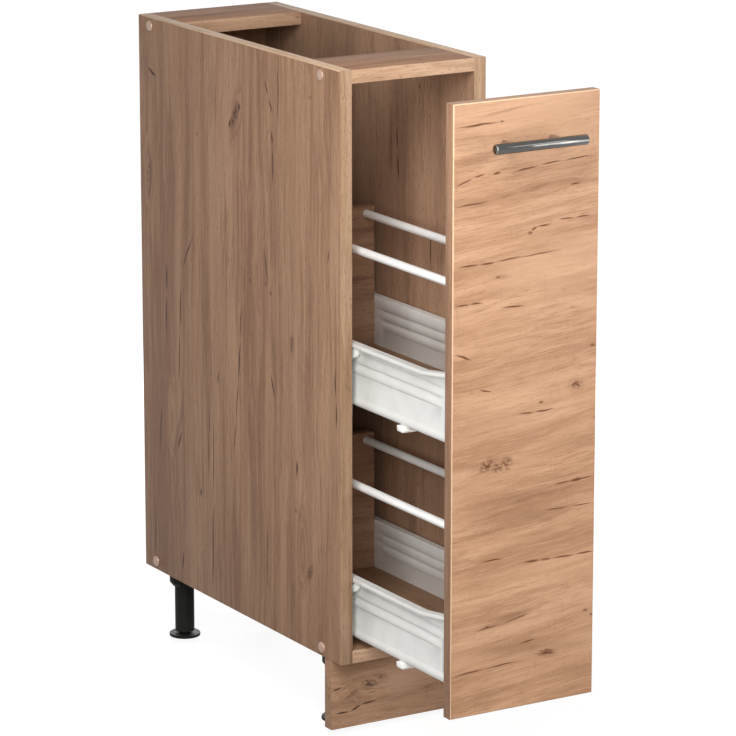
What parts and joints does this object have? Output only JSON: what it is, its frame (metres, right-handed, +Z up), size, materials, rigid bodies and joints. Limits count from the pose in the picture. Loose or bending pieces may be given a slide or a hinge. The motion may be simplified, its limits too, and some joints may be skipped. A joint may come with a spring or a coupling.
{
  "type": "pull-out base cabinet",
  "caption": "Narrow kitchen base unit on adjustable legs: a full-height front with a bar handle pulls out roller drawers with steel sides and gallery rods.",
  "frame": {"origin": "on the floor, in the middle of the width, in the plane of the carcass front edges", "axes": "+Z up, +Y from the front to the back wall, +X to the right when the user faces the front"},
  "size_m": [0.2052, 0.777, 0.81],
  "materials": {
    "board_laminate": "brown oak laminate on chipboard, matt, light pore texture",
    "front_laminate": "golden oak laminate on chipboard, matt, grain across the front",
    "edge_band": "light plastic edge band, matt",
    "hardboard": "hardboard with a printed brown oak face",
    "white_steel": "white powder coat, satin",
    "zinc_steel": "zinc plated",
    "handle_metal": "dark polished chrome",
    "white_plastic": "white moulded plastic, half gloss",
    "black_plastic": "black moulded plastic, matt",
    "cap_plastic": "brown plastic cover caps, half gloss",
    "bumper_plastic": "clear soft bumper dots",
    "beech": "fluted beech dowel, plain"
  },
  "bodies": {
    "cabinet": {"side_panel_left": "board_laminate", "side_panel_right": "board_laminate", "bottom_panel": "board_laminate", "top_rail_front": "board_laminate", "top_rail_back": "board_laminate", "carcass_edge_bands": "edge_band", "back_panel": "hardboard", "back_panel_nails": "zinc_steel", "assembly_screws": "zinc_steel", "dowels": "beech", "screw_caps": "cap_plastic", "plinth": "board_laminate", "plinth_clips": "black_plastic", "plinth_clip_screws": "zinc_steel", "leg_sockets": "black_plastic", "leg_tubes": "black_plastic", "leg_screws": "zinc_steel", "runner_lower_left": "white_steel", "runner_lower_right": "white_steel", "runner_upper_left": "white_steel", "runner_upper_right": "white_steel", "runner_screws": "zinc_steel", "cabinet_axles": "zinc_steel"},
    "pull_out": {"front_panel": "front_laminate", "handle_bar": "handle_metal", "handle_posts": "handle_metal", "handle_screws": "zinc_steel", "bumpers": "bumper_plastic", "drawer_side_lower_left": "white_steel", "drawer_side_lower_right": "white_steel", "drawer_side_upper_left": "white_steel", "drawer_side_upper_right": "white_steel", "drawer_bottom_lower": "board_laminate", "drawer_bottom_upper": "board_laminate", "drawer_back_lower": "board_laminate", "drawer_back_upper": "board_laminate", "gallery_rods_lower": "white_steel", "gallery_rods_upper": "white_steel", "rod_sockets": "white_plastic", "rod_pins": "white_plastic", "front_brackets": "zinc_steel", "bracket_rivets": "zinc_steel", "bracket_screws": "zinc_steel", "drawer_screws": "zinc_steel", "guide_blocks": "white_plastic", "drawer_axles": "zinc_steel"},
    "cabinet_roller_lower_left": {"cabinet_roller_lower_left": "white_plastic"},
    "cabinet_roller_lower_right": {"cabinet_roller_lower_right": "white_plastic"},
    "cabinet_roller_upper_left": {"cabinet_roller_upper_left": "white_plastic"},
    "cabinet_roller_upper_right": {"cabinet_roller_upper_right": "white_plastic"},
    "drawer_roller_lower_left": {"drawer_roller_lower_left": "white_plastic"},
    "drawer_roller_lower_right": {"drawer_roller_lower_right": "white_plastic"},
    "drawer_roller_upper_left": {"drawer_roller_upper_left": "white_plastic"},
    "drawer_roller_upper_right": {"drawer_roller_upper_right": "white_plastic"},
    "foot_front_left": {"foot_front_left": "black_plastic"},
    "foot_front_right": {"foot_front_right": "black_plastic"},
    "foot_back_left": {"foot_back_left": "black_plastic"},
    "foot_back_right": {"foot_back_right": "black_plastic"}
  },
  "joints": [
    {"name": "pull_out_slide", "type": "slide", "parent": "cabinet", "child": "pull_out", "axis": [0, -1, 0], "range_m": [-0.225, 0.115]},
    {"name": "cabinet_roller_lower_left_spin", "type": "hinge", "parent": "cabinet", "child": "cabinet_roller_lower_left", "pos_m": [-0.0766, 0.007, 0.1855], "axis": [1, 0, 0], "continuous": true},
    {"name": "cabinet_roller_lower_right_spin", "type": "hinge", "parent": "cabinet", "child": "cabinet_roller_lower_right", "pos_m": [0.0766, 0.007, 0.1855], "axis": [1, 0, 0], "continuous": true},
    {"name": "cabinet_roller_upper_left_spin", "type": "hinge", "parent": "cabinet", "child": "cabinet_roller_upper_left", "pos_m": [-0.0766, 0.007, 0.4735], "axis": [1, 0, 0], "continuous": true},
    {"name": "cabinet_roller_upper_right_spin", "type": "hinge", "parent": "cabinet", "child": "cabinet_roller_upper_right", "pos_m": [0.0766, 0.007, 0.4735], "axis": [1, 0, 0], "continuous": true},
    {"name": "drawer_roller_lower_left_spin", "type": "hinge", "parent": "pull_out", "child": "drawer_roller_lower_left", "pos_m": [-0.0766, 0.211, 0.1819], "axis": [1, 0, 0], "continuous": true},
    {"name": "drawer_roller_lower_right_spin", "type": "hinge", "parent": "pull_out", "child": "drawer_roller_lower_right", "pos_m": [0.0766, 0.211, 0.1819], "axis": [1, 0, 0], "continuous": true},
    {"name": "drawer_roller_upper_left_spin", "type": "hinge", "parent": "pull_out", "child": "drawer_roller_upper_left", "pos_m": [-0.0766, 0.211, 0.4699], "axis": [1, 0, 0], "continuous": true},
    {"name": "drawer_roller_upper_right_spin", "type": "hinge", "parent": "pull_out", "child": "drawer_roller_upper_right", "pos_m": [0.0766, 0.211, 0.4699], "axis": [1, 0, 0], "continuous": true},
    {"name": "foot_front_left_adjust", "type": "slide", "parent": "cabinet", "child": "foot_front_left", "axis": [0, 0, 1], "range_m": [-0.01, 0.002]},
    {"name": "foot_front_right_adjust", "type": "slide", "parent": "cabinet", "child": "foot_front_right", "axis": [0, 0, 1], "range_m": [-0.01, 0.002]},
    {"name": "foot_back_left_adjust", "type": "slide", "parent": "cabinet", "child": "foot_back_left", "axis": [0, 0, 1], "range_m": [-0.01, 0.002]},
    {"name": "foot_back_right_adjust", "type": "slide", "parent": "cabinet", "child": "foot_back_right", "axis": [0, 0, 1], "range_m": [-0.01, 0.002]}
  ],
  "couplings": [
    {"joint": "cabinet_roller_lower_left_spin", "follows": "pull_out_slide", "rad_per_m": 125},
    {"joint": "cabinet_roller_lower_right_spin", "follows": "pull_out_slide", "rad_per_m": 125},
    {"joint": "cabinet_roller_upper_left_spin", "follows": "pull_out_slide", "rad_per_m": 125},
    {"joint": "cabinet_roller_upper_right_spin", "follows": "pull_out_slide", "rad_per_m": 125},
    {"joint": "drawer_roller_lower_left_spin", "follows": "pull_out_slide", "rad_per_m": 125},
    {"joint": "drawer_roller_lower_right_spin", "follows": "pull_out_slide", "rad_per_m": 125},
    {"joint": "drawer_roller_upper_left_spin", "follows": "pull_out_slide", "rad_per_m": 125},
    {"joint": "drawer_roller_upper_right_spin", "follows": "pull_out_slide", "rad_per_m": 125}
  ]
}
